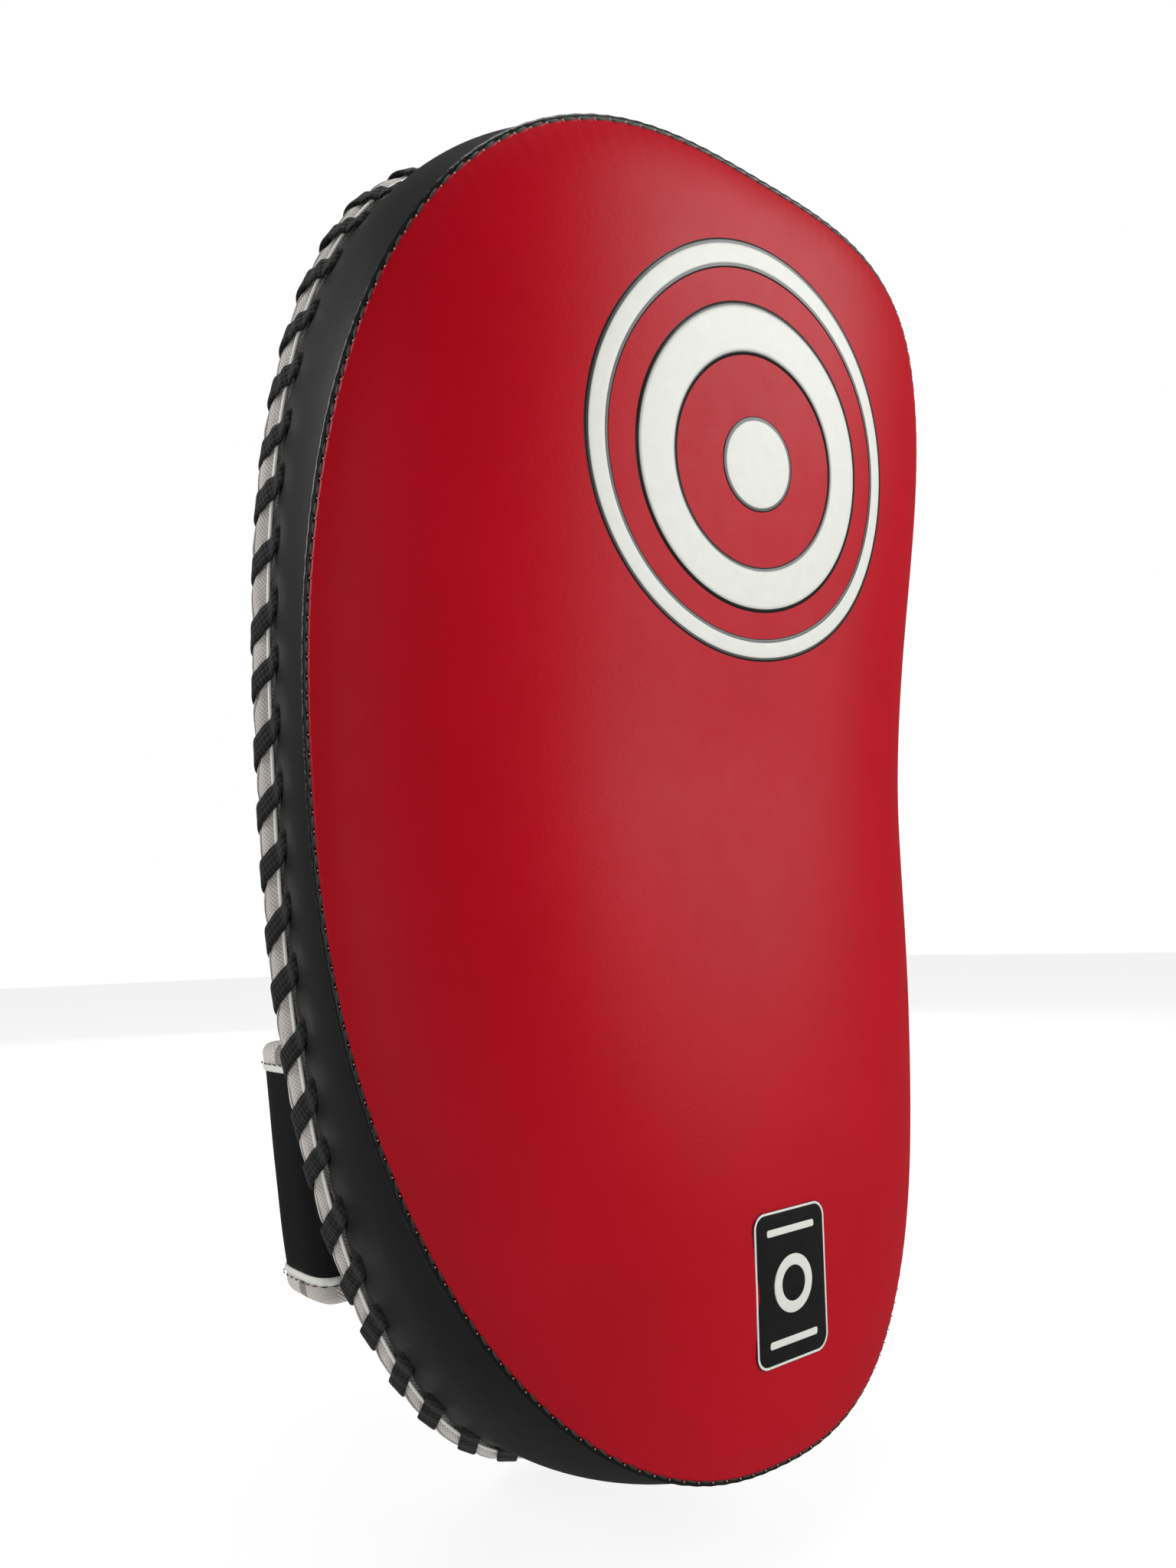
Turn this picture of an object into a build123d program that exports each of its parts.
from build123d import *
import os
from math import asin, atan2, cos, hypot, pi, sin

# Thai pad: a curved, leather-covered foam striking pad that is worn on the forearm.
# Millimetres. X runs across the pad, +Z along the forearm towards the hand, and -Y is the
# striking side. The origin lies on the flat forearm seat, which is the plane y = 0.

# Striking face, measured along its seam
FACE_WIDTH = 215.0
FACE_LENGTH = 342.7
TOP_BEND = 281.4            # bend radius of the seam, above and below its middle
BOTTOM_BEND = 467.4
TOP_SQUARENESS = 3.11       # superellipse powers: 2 is an ellipse, more is squarer
BOTTOM_SQUARENESS = 2.31
END_FLARE = 0.06            # how much wider the top end is, and the bottom end narrower
CROWN = 31.2                # how far the face stands proud of its seam
CROWN_FULLNESS = 3.57

# Body behind the face
MIDDLE_DEPTH = 60.5
END_DEPTH = 100.0
SIDE_DRAW_IN = 12.6         # how far the back edge sits inside the seam at the sides
END_DRAW_IN = 9.7           # and at the ends, along the bend
SEAT_TOP = 30.0             # where the flat seat ends and the back starts to bend forward
LEATHER = 1.5
IMPACT_FOAM = 18.0
REAR_FOAM = 10.0

# Seams and the laced edge
WELT = 1.3
PIPING = 9.0
PIPING_CANVAS = 1.0
PIPING_PROUD = 2.0          # how far the piping stands behind the back panel
EDGE_STRIP = 1.5
LACE_PITCH = 17.0
LACE_WIDTH = 5.5
LACE_THICKNESS = 1.3
LACE_GAP = 0.6
LACE_SLIT_DEPTH = 5.0       # from the piping to the slits in the gusset
LACE_HOLD = 3.0             # how far a wrap reaches past the piping on the back

# Label sewn on the face
LABEL_WIDTH = 27.0
LABEL_HEIGHT = 38.0
LABEL_CORNER = 4.0
LABEL_THICKNESS = 0.6
LABEL_FROM_MIDDLE = 130.0

# Padded wings beside the forearm
WING_LENGTH = 73.0
WING_FROM_END = 61.0
WING_HEIGHT = 25.0
WING_THICKNESS = 12.0
WING_ROUND = 5.0
WING_EDGE_INSET = 9.9
WING_TOE_IN = 7.0
WING_BINDING = 8.0

# Straps
STRAP_LEATHER = 2.0
STRAP_LINING = 1.0
PATCH = 1.0                 # thickness of a hook or loop patch
PATCH_MARGIN = 3.0
CLEARANCE = 0.3
ELBOW_STRAP_WIDTH = 50.0
ELBOW_ARCH = 45.0
ELBOW_TAB = 22.0
WRIST_STRAP_WIDTH = 40.0
WRIST_SPAN = 106.0
WRIST_ARCH = 50.0
WRIST_ABOVE_WINGS = 93.0
WRIST_TAB = 24.0

# Grip
GRIP_FROM_TOP = 93.0
GRIP_LENGTH = 90.0
GRIP_STAND_OFF = 42.0
CORE_DIAMETER = 12.0
GRIP_FOAM = 7.0
HANDLE_TAB = 3.0
HANDLE_TAB_WIDTH = 34.0
HANDLE_FOOT = 27.0

# Rivets
RIVET_HEAD = 9.0
RIVET_HEAD_HEIGHT = 1.4
RIVET_SHANK = 4.0

# Outline accuracy, and the reach of cutting shapes beyond the body
OUTLINE_STEPS = 36
REACH = 260.0

BACK_WIDTH = FACE_WIDTH - 2 * SIDE_DRAW_IN
BACK_LENGTH = FACE_LENGTH - 2 * END_DRAW_IN
STRAP = STRAP_LEATHER + STRAP_LINING


def upright_side_point(along, lift):
    """Side view (y, z) of a point along the seam's bend, lifted behind it."""
    radius = TOP_BEND if along >= 0 else BOTTOM_BEND
    turn = along / radius
    return (radius + lift) * cos(turn) - radius - MIDDLE_DEPTH, (radius + lift) * sin(turn)


def depth_at(share):
    """Depth of the body at a share of its half length from the middle."""
    return MIDDLE_DEPTH + (END_DEPTH - MIDDLE_DEPTH) * share**2


low_edge_y, low_edge_z = upright_side_point(-BACK_LENGTH / 2, END_DEPTH)
LEAN = atan2(low_edge_y, -low_edge_z)


def side_point(along, lift):
    """The same point, with the whole body leaned so that the seat is upright."""
    y, z = upright_side_point(along, lift)
    return y * cos(LEAN) + z * sin(LEAN), z * cos(LEAN) - y * sin(LEAN)


def outline(turn, width, length):
    """Across, along and share along of a point on the superellipse outline."""
    power = TOP_SQUARENESS if sin(turn) >= 0 else BOTTOM_SQUARENESS
    reach = (abs(cos(turn)) ** power + abs(sin(turn)) ** power) ** (1 / power)
    share = sin(turn) / reach
    across = width / 2 * cos(turn) / reach * (1 + END_FLARE * share)
    return across, length / 2 * share, share


def seam_point(turn):
    across, along, share = outline(turn, FACE_WIDTH, FACE_LENGTH)
    return Vector(across, *side_point(along, 0))


def edge_point(turn):
    across, along, share = outline(turn, BACK_WIDTH, BACK_LENGTH)
    return Vector(across, *side_point(along, depth_at(share)))


BACK_TOP = edge_point(pi / 2)
BACK_BOTTOM = edge_point(-pi / 2)
back_rise = BACK_TOP.Z - SEAT_TOP
BACK_BEND = (back_rise**2 + BACK_TOP.Y**2) / (-2 * BACK_TOP.Y)


def wall_section(y, inset):
    """Closed curve where the side wall, drawn in by the inset, meets one plane across Y."""
    points = []
    for step in range(OUTLINE_STEPS):
        turn = 2 * pi * step / OUTLINE_STEPS
        seam = seam_point(turn)
        edge = edge_point(turn)
        points.append(seam + (edge - seam) * ((y - seam.Y) / (edge.Y - seam.Y)))
    drawn_in = []
    for step in range(OUTLINE_STEPS):
        tangent = points[(step + 1) % OUTLINE_STEPS] - points[step - 1]
        outward = Vector(tangent.Z, 0, -tangent.X).normalized()
        drawn_in.append(points[step] - outward * inset)
    stations = [step / OUTLINE_STEPS for step in range(OUTLINE_STEPS + 1)]
    return Wire([Edge.make_spline(drawn_in, periodic=True, parameters=stations)])


def wall(inset):
    """Everything inside the side wall, drawn in by the inset."""
    front = wall_section(-END_DEPTH - CROWN, inset)
    back = wall_section(END_DEPTH / 5, inset)
    return Solid.make_loft([front, back], ruled=True)


def crown_point(across, along):
    """A point of the crowned face, which goes on smoothly outside its seam."""
    share = along / (FACE_LENGTH / 2)
    power = TOP_SQUARENESS if share >= 0 else BOTTOM_SQUARENESS
    half = FACE_WIDTH / 2 * (1 + END_FLARE * share)
    spread = (abs(across / half) ** power + abs(share) ** power) ** (1 / power)
    return Vector(across, *side_point(along, CROWN * (spread**CROWN_FULLNESS - 1)))


def crown_surface():
    columns = 16
    rows = 26
    width = 1.1 * FACE_WIDTH
    length = 1.25 * FACE_LENGTH
    grid = []
    for row in range(rows + 1):
        along = length * (row / rows - 0.5)
        grid.append([crown_point(width * (col / columns - 0.5), along) for col in range(columns + 1)])
    return Face.make_surface_from_array_of_points(grid, tol=0.2, min_deg=3, max_deg=3)


CROWN_SURFACE = crown_surface()


def behind_crown(depth):
    """Everything behind the crowned face, moved back by a depth."""
    return Pos(0, depth, 0) * Solid.extrude(CROWN_SURFACE, Vector(0, REACH, 0))


def seam_curve(shift):
    """Side-view edges of the seam's bend, moved back by a shift, from the bottom up."""
    reach = 0.7 * FACE_LENGTH
    stations = [-reach, -reach / 2, 0, reach / 2, reach]
    low, low_mid, middle, high_mid, high = [
        Vector(-REACH, *side_point(along, 0)) + Vector(0, shift, 0) for along in stations
    ]
    return [Edge.make_three_point_arc(low, low_mid, middle), Edge.make_three_point_arc(middle, high_mid, high)]


def back_y(z):
    """Where the back lies at a height."""
    if z <= SEAT_TOP:
        return 0.0
    return BACK_BEND * (cos(asin((z - SEAT_TOP) / BACK_BEND)) - 1)


def back_curve(shift):
    """Side-view edges of the back, moved back by a shift, from the bottom up."""
    low = Vector(-REACH, shift, -REACH)
    bend_start = Vector(-REACH, shift, SEAT_TOP)
    mid_z = (SEAT_TOP + REACH) / 2
    bend_mid = Vector(-REACH, back_y(mid_z) + shift, mid_z)
    bend_end = Vector(-REACH, back_y(REACH) + shift, REACH)
    return [Edge.make_line(low, bend_start), Edge.make_three_point_arc(bend_start, bend_mid, bend_end)]


def far_front():
    return [Edge.make_line((-REACH, -REACH, -REACH), (-REACH, -REACH, REACH))]


def between(front, back):
    """Everything between two side-view curves, right across the pad."""
    low = Edge.make_line(front[0] @ 0, back[0] @ 0)
    high = Edge.make_line(front[-1] @ 1, back[-1] @ 1)
    profile = Wire.combine(front + back + [low, high])[0]
    return Solid.extrude(Face(profile), Vector(2 * REACH, 0, 0))


def layer(front, back):
    """Everything between two depths that are counted from the back."""
    return between(back_curve(front), back_curve(back))


def plate(x_low, x_high, z_low, z_high, front, back):
    """A plate that lies on the back and follows its bend."""
    size = (x_high - x_low, REACH, z_high - z_low)
    return Pos((x_low + x_high) / 2, 0, (z_low + z_high) / 2) * Box(*size) & layer(front, back)


def one_solid(shape):
    """The shape as a single solid, the largest if small slivers came with it."""
    return max(shape.solids(), key=lambda solid: solid.volume)


# ---- Body -------------------------------------------------------------------------------

WALL = wall(0)
INNER_WALL = wall(LEATHER)
PIPING_WALL = wall(PIPING)
TO_BACK = between(far_front(), back_curve(0))

outer_body = WALL & behind_crown(0) & TO_BACK
inner_body = INNER_WALL & behind_crown(LEATHER) & between(far_front(), back_curve(-LEATHER))
skin = outer_body - inner_body

piping_front = PIPING_PROUD - PIPING
gusset_back = piping_front - EDGE_STRIP


def piping_ring(shrink):
    """The piping round the back edge, drawn in on all sides by a shrink."""
    depth = layer(piping_front + shrink, PIPING_PROUD - shrink)
    return (wall(shrink) - wall(PIPING - shrink)) & depth


piping_envelope = piping_ring(0)
piping_core = piping_ring(PIPING_CANVAS)


def front_cover():
    return skin & between(far_front(), seam_curve(0))


def side_gusset():
    rows = between(seam_curve(0), back_curve(gusset_back))
    return (WALL - INNER_WALL) & rows


def front_welt():
    return (wall(-WELT) - WALL) & between(seam_curve(-WELT), seam_curve(WELT))


def edge_strip():
    return (WALL - INNER_WALL) & layer(gusset_back, piping_front)


def back_panel():
    return PIPING_WALL & layer(-LEATHER, 0)


def foam_layer(front, back):
    return one_solid((inner_body & front & back) - piping_envelope)


def impact_foam():
    deep = inner_body - behind_crown(LEATHER + IMPACT_FOAM)
    return one_solid(deep & between(far_front(), back_curve(-LEATHER - REAR_FOAM)) - piping_envelope)


def core_foam():
    return foam_layer(behind_crown(LEATHER + IMPACT_FOAM), between(far_front(), back_curve(-LEATHER - REAR_FOAM)))


def rear_foam():
    return foam_layer(behind_crown(LEATHER), layer(-LEATHER - REAR_FOAM, -LEATHER))


def face_label():
    blank = RectangleRounded(LABEL_WIDTH, LABEL_HEIGHT, LABEL_CORNER)
    y, z = side_point(-LABEL_FROM_MIDDLE, 0)
    column = extrude(Plane.XZ.offset(-REACH / 2) * Pos(0, z) * blank, amount=REACH)
    return (column & behind_crown(-LABEL_THICKNESS)) - behind_crown(0)


# ---- Lacing -----------------------------------------------------------------------------

def lace_turns():
    """Outline angles of the lace's wraps, evenly spaced along the back edge."""
    fine = 1440
    turns = [2 * pi * step / fine for step in range(fine + 1)]
    points = [edge_point(turn) for turn in turns]
    run = [0.0]
    for start, end in zip(points, points[1:]):
        run.append(run[-1] + (end - start).length)
    count = round(run[-1] / LACE_PITCH)
    wanted = [(wrap + 0.5) * run[-1] / count for wrap in range(count)]
    return [turns[min(range(fine + 1), key=lambda step: abs(run[step] - goal))] for goal in wanted]


def lace_wrap(turn):
    """One wrap of the lace: down the gusset, round the piping and onto the back panel."""
    edge = edge_point(turn)
    rise = edge - seam_point(turn)
    ahead = edge_point(turn + 0.01) - edge_point(turn - 0.01)
    tangent = Vector(ahead.X, 0, ahead.Z).normalized()
    outward = Vector(tangent.Z, 0, -tangent.X)
    lean_out = rise.dot(outward) / rise.Y

    def corner(offset, out):
        spot = edge + outward * out - tangent * (LACE_WIDTH / 2)
        return Vector(spot.X, back_y(spot.Z) + offset, spot.Z)

    def on_gusset(offset, out):
        return corner(offset, lean_out * (back_y(edge.Z) + offset - edge.Y) + out)

    slit = piping_front - LACE_SLIT_DEPTH
    rear = PIPING_PROUD + LACE_GAP
    hold = -PIPING - LACE_HOLD
    corners = [
        on_gusset(slit, LACE_GAP),
        on_gusset(slit, LACE_GAP + LACE_THICKNESS),
        on_gusset(rear + LACE_THICKNESS, LACE_GAP + LACE_THICKNESS),
        corner(rear + LACE_THICKNESS, hold),
        corner(LACE_GAP, hold),
        corner(LACE_GAP, hold + LACE_THICKNESS),
        corner(rear, hold + LACE_THICKNESS),
        on_gusset(rear, LACE_GAP),
    ]
    return Solid.extrude(Face(Wire.make_polygon(corners)), tangent * LACE_WIDTH)


def lacing():
    return Compound([lace_wrap(turn) for turn in lace_turns()])


# ---- Wings ------------------------------------------------------------------------------

WING_LOW = BACK_BOTTOM.Z + WING_FROM_END
WING_HIGH = WING_LOW + WING_LENGTH


def wing_x(z):
    """Distance of a wing's outer face from the middle, which is less towards the elbow."""
    return BACK_WIDTH / 2 - WING_EDGE_INSET - WING_TOE_IN * (WING_HIGH - z) / WING_LENGTH


# Thin wings take a smaller rounding than the one named above
WING_CORNER = min(WING_ROUND, 0.45 * WING_THICKNESS)


def wing_block(inset, low, high):
    """One wing between two heights, drawn in by an inset."""
    faces = []
    for z in (low, high):
        shape = RectangleRounded(
            WING_THICKNESS - 2 * inset, WING_HEIGHT + 2 * WING_CORNER - 2 * inset, WING_CORNER - inset
        )
        faces.append(Pos(wing_x(z) - WING_THICKNESS / 2, WING_HEIGHT / 2 - WING_CORNER, z) * shape)
    return loft(faces, ruled=True)


lace_top = PIPING_PROUD + 2 * LACE_GAP + LACE_THICKNESS
lace_room = (wall(-2 * LACE_THICKNESS) - wall(PIPING + LACE_HOLD + LACE_GAP)) & layer(-PIPING, lace_top)


def seated(block):
    """The part of a block that stands on the back, clear of the piping and the lacing."""
    above = Pos(0, REACH / 2, 0) * Box(2 * REACH, REACH, 2 * REACH)
    return one_solid((block & above) - lace_room)


def wing_pieces():
    cover_low = WING_LOW + WING_BINDING
    cover_high = WING_HIGH - WING_BINDING
    outside = wing_block(0, cover_low, cover_high)
    inside = wing_block(LEATHER, cover_low, cover_high)
    return {
        "wing_cover": seated(outside - inside),
        "wing_foam": seated(inside),
        "wing_lower_binding": seated(wing_block(0, WING_LOW, cover_low)),
        "wing_upper_binding": seated(wing_block(0, cover_high, WING_HIGH)),
    }


# ---- Elbow strap ------------------------------------------------------------------------

elbow_z = (WING_LOW + WING_HIGH) / 2
ELBOW_LOW = elbow_z - ELBOW_STRAP_WIDTH / 2
ELBOW_HIGH = elbow_z + ELBOW_STRAP_WIDTH / 2
ELBOW_FOOT = WING_HEIGHT + 2.0
ROOT_SIDE = -WING_THICKNESS           # the root's outer face, counted from the wing's outer face
TAB_SIDE = 2 * PATCH + CLEARANCE      # the tab's inner face, counted the same way


def leaning_slab(side, near, far, y_low, y_high, z_low, z_high):
    """A slab beside a wing, between two distances outside the wing's outer face."""
    faces = []
    for z in (z_low, z_high):
        a = side * (wing_x(z) + near)
        b = side * (wing_x(z) + far)
        corners = [(a, y_low, z), (b, y_low, z), (b, y_high, z), (a, y_high, z)]
        faces.append(Face(Wire.make_polygon(corners)))
    return loft(faces, ruled=True)


def arch(left, right, foot, rise, inner, outer, z_low, z_high):
    """Part of an arched strap between two offsets outside its inner face."""
    faces = []
    for z in (z_low, z_high):
        middle = (left(z) + right(z)) / 2
        half = (right(z) - left(z)) / 2
        level = Plane(origin=(middle, foot, z))
        outside = Edge.make_ellipse(half + outer, rise + outer, level, 0, 180)
        inside = Edge.make_ellipse(half + inner, rise + inner, level, 0, 180)
        feet = [Edge.make_line(outside @ 0, inside @ 0), Edge.make_line(outside @ 1, inside @ 1)]
        faces.append(Face(Wire.combine([outside, inside] + feet)[0]))
    return loft(faces, ruled=True)


def elbow_left(z):
    return -wing_x(z) - ROOT_SIDE + STRAP


def elbow_right(z):
    return wing_x(z) + TAB_SIDE


def elbow_arch(inner, outer):
    foot = ELBOW_FOOT + CLEARANCE
    return arch(elbow_left, elbow_right, foot, ELBOW_ARCH, inner, outer, ELBOW_LOW, ELBOW_HIGH)


def elbow_pieces():
    tab_low = ELBOW_FOOT - CLEARANCE - ELBOW_TAB
    tab_high = ELBOW_FOOT - CLEARANCE
    leather = (ELBOW_LOW, ELBOW_HIGH)
    patch = (ELBOW_LOW + PATCH_MARGIN, ELBOW_HIGH - PATCH_MARGIN)
    patch_y = (tab_low + PATCH_MARGIN, WING_HEIGHT - WING_CORNER)
    return {
        "elbow_strap_root": seated(leaning_slab(-1, ROOT_SIDE - STRAP, ROOT_SIDE, 0, tab_high, *leather)),
        "elbow_strap_leather": elbow_arch(STRAP_LINING, STRAP),
        "elbow_strap_lining": elbow_arch(0, STRAP_LINING),
        "elbow_tab_leather": leaning_slab(1, TAB_SIDE, TAB_SIDE + STRAP, tab_low, tab_high, *leather),
        "elbow_tab_hook_patch": leaning_slab(1, TAB_SIDE - PATCH, TAB_SIDE, *patch_y, *patch),
        "right_wing_loop_patch": leaning_slab(1, 0, PATCH, *patch_y, *patch),
    }


# ---- Wrist strap ------------------------------------------------------------------------

wrist_z = WING_HIGH + WRIST_ABOVE_WINGS
WRIST_LOW = wrist_z - WRIST_STRAP_WIDTH / 2
WRIST_HIGH = wrist_z + WRIST_STRAP_WIDTH / 2
WRIST_SIDE = WRIST_SPAN / 2
WRIST_FOOT = STRAP + CLEARANCE        # height of the fold line at the strap's root
WRIST_LANDING = 1.6                   # thickness of the leather landing strip
wrist_tab_y = WRIST_LANDING + 2 * PATCH + CLEARANCE


def wrist_arch(inner, outer):
    foot = wrist_tab_y
    side = WRIST_SIDE
    return arch(lambda z: -side, lambda z: side, foot, WRIST_ARCH, inner, outer, WRIST_LOW, WRIST_HIGH)


def block(x_low, x_high, y_low, y_high, z_low, z_high):
    centre = ((x_low + x_high) / 2, (y_low + y_high) / 2, (z_low + z_high) / 2)
    return Pos(*centre) * Box(x_high - x_low, y_high - y_low, z_high - z_low)


def wrist_pieces():
    side = WRIST_SIDE + STRAP
    tab_start = side + 2 * CLEARANCE
    tab_end = tab_start + WRIST_TAB
    leather = (WRIST_LOW, WRIST_HIGH)
    patch = (WRIST_LOW + PATCH_MARGIN, WRIST_HIGH - PATCH_MARGIN)
    patch_x = (tab_start + PATCH_MARGIN, tab_end - PATCH_MARGIN)
    return {
        "wrist_strap_anchor": plate(-side - WRIST_TAB, -WRIST_SIDE, *leather, 0, STRAP),
        "wrist_strap_leather": wrist_arch(STRAP_LINING, STRAP),
        "wrist_strap_lining": wrist_arch(0, STRAP_LINING),
        "wrist_landing_strip": plate(side, tab_end, *leather, 0, WRIST_LANDING),
        "wrist_loop_patch": plate(*patch_x, *patch, WRIST_LANDING, WRIST_LANDING + PATCH),
        "wrist_tab_leather": block(tab_start, tab_end, wrist_tab_y, wrist_tab_y + STRAP, *leather),
        "wrist_tab_hook_patch": block(*patch_x, wrist_tab_y - PATCH, wrist_tab_y, *patch),
    }


# ---- Grip -------------------------------------------------------------------------------

grip_z = BACK_TOP.Z - GRIP_FROM_TOP
grip_y = GRIP_STAND_OFF
FOAM_DIAMETER = CORE_DIAMETER + 2 * GRIP_FOAM
COVER_DIAMETER = FOAM_DIAMETER + 2 * LEATHER
HALF_GRIP = GRIP_LENGTH / 2


def bar(diameter, length):
    return Pos(0, grip_y, grip_z) * Rot(0, 90, 0) * Cylinder(diameter / 2, length)


def handle_tab(side):
    """Leather tab: a foot on the back and an upright that holds one end of the grip."""
    near = HALF_GRIP
    far = near + HANDLE_TAB
    low = grip_z - HANDLE_TAB_WIDTH / 2
    high = grip_z + HANDLE_TAB_WIDTH / 2
    upright = block(near, far, -END_DEPTH, grip_y, low, high)
    round_end = Pos((near + far) / 2, grip_y, grip_z) * Rot(0, 90, 0)
    upright += round_end * Cylinder(HANDLE_TAB_WIDTH / 2, HANDLE_TAB)
    upright = (upright - bar(CORE_DIAMETER, GRIP_LENGTH + 4 * HANDLE_TAB)) - between(far_front(), back_curve(0))
    foot = plate(near, near + HANDLE_FOOT, low, high, 0, HANDLE_TAB)
    tab = one_solid(upright + foot)
    return tab if side > 0 else mirror(tab, about=Plane.YZ)


def grip_pieces():
    core_length = GRIP_LENGTH + 2 * HANDLE_TAB
    cap = Cylinder(RIVET_HEAD, RIVET_HEAD_HEIGHT)
    cap_x = core_length / 2 + RIVET_HEAD_HEIGHT / 2
    caps = [Pos(side * cap_x, grip_y, grip_z) * Rot(0, 90, 0) * cap for side in (-1, 1)]
    return {
        "grip_core": bar(CORE_DIAMETER, core_length),
        "grip_foam": bar(FOAM_DIAMETER, GRIP_LENGTH) - bar(CORE_DIAMETER, GRIP_LENGTH),
        "grip_cover": bar(COVER_DIAMETER, GRIP_LENGTH) - bar(FOAM_DIAMETER, GRIP_LENGTH),
        "grip_end_caps": Compound([one_solid(cap) for cap in caps]),
        "left_handle_tab": handle_tab(-1),
        "right_handle_tab": handle_tab(1),
    }


# ---- Rivets -----------------------------------------------------------------------------

handle_rivet_x = HALF_GRIP + HANDLE_TAB + (HANDLE_FOOT - HANDLE_TAB) / 2
anchor_rivet_x = WRIST_SIDE + STRAP + WRIST_TAB / 2
HANDLE_RIVETS = [
    (side * handle_rivet_x, grip_z + step * HANDLE_TAB_WIDTH / 4) for side in (-1, 1) for step in (-1, 1)
]
ANCHOR_RIVETS = [(-anchor_rivet_x, wrist_z + step * WRIST_STRAP_WIDTH / 4) for step in (-1, 1)]


def shank(x, z):
    return Pos(x, 0, z) * Rot(90, 0, 0) * Cylinder(RIVET_SHANK / 2, REACH)


def rivets(places, leather):
    """Rivets through a leather layer and the back panel."""
    made = []
    for x, z in places:
        head = Pos(x, 0, z) * Rot(90, 0, 0) * Cylinder(RIVET_HEAD / 2, REACH)
        head = head & layer(leather, leather + RIVET_HEAD_HEIGHT)
        made.append(one_solid(head + (shank(x, z) & layer(-LEATHER, leather))))
    return Compound(made)


def pierced(shape):
    """The shape with a hole for each rivet shank that passes through it."""
    for x, z in HANDLE_RIVETS + ANCHOR_RIVETS:
        shape = shape - shank(x, z)
    return one_solid(shape)


# ---- All pieces -------------------------------------------------------------------------

pieces = {
    "front_cover": front_cover(),
    "side_gusset": side_gusset(),
    "back_panel": pierced(back_panel()),
    "front_welt": front_welt(),
    "edge_strip": edge_strip(),
    "piping_canvas": piping_envelope - piping_core,
    "piping_cord": piping_core,
    "lacing": lacing(),
    "face_label": face_label(),
    "impact_foam": impact_foam(),
    "core_foam": core_foam(),
    "rear_foam": rear_foam(),
}
for name, shape in wing_pieces().items():
    pieces["right_" + name] = shape
    pieces["left_" + name] = mirror(shape, about=Plane.YZ)
pieces.update(elbow_pieces())
pieces.update(wrist_pieces())
pieces.update(grip_pieces())
for name in ("wrist_strap_anchor", "left_handle_tab", "right_handle_tab"):
    pieces[name] = pierced(pieces[name])
pieces["handle_rivets"] = rivets(HANDLE_RIVETS, HANDLE_TAB)
pieces["anchor_rivets"] = rivets(ANCHOR_RIVETS, STRAP)

os.makedirs("parts", exist_ok=True)
for name, shape in pieces.items():
    solids = shape.solids()
    export_step(solids[0] if len(solids) == 1 else Compound(solids), f"parts/{name}.step")
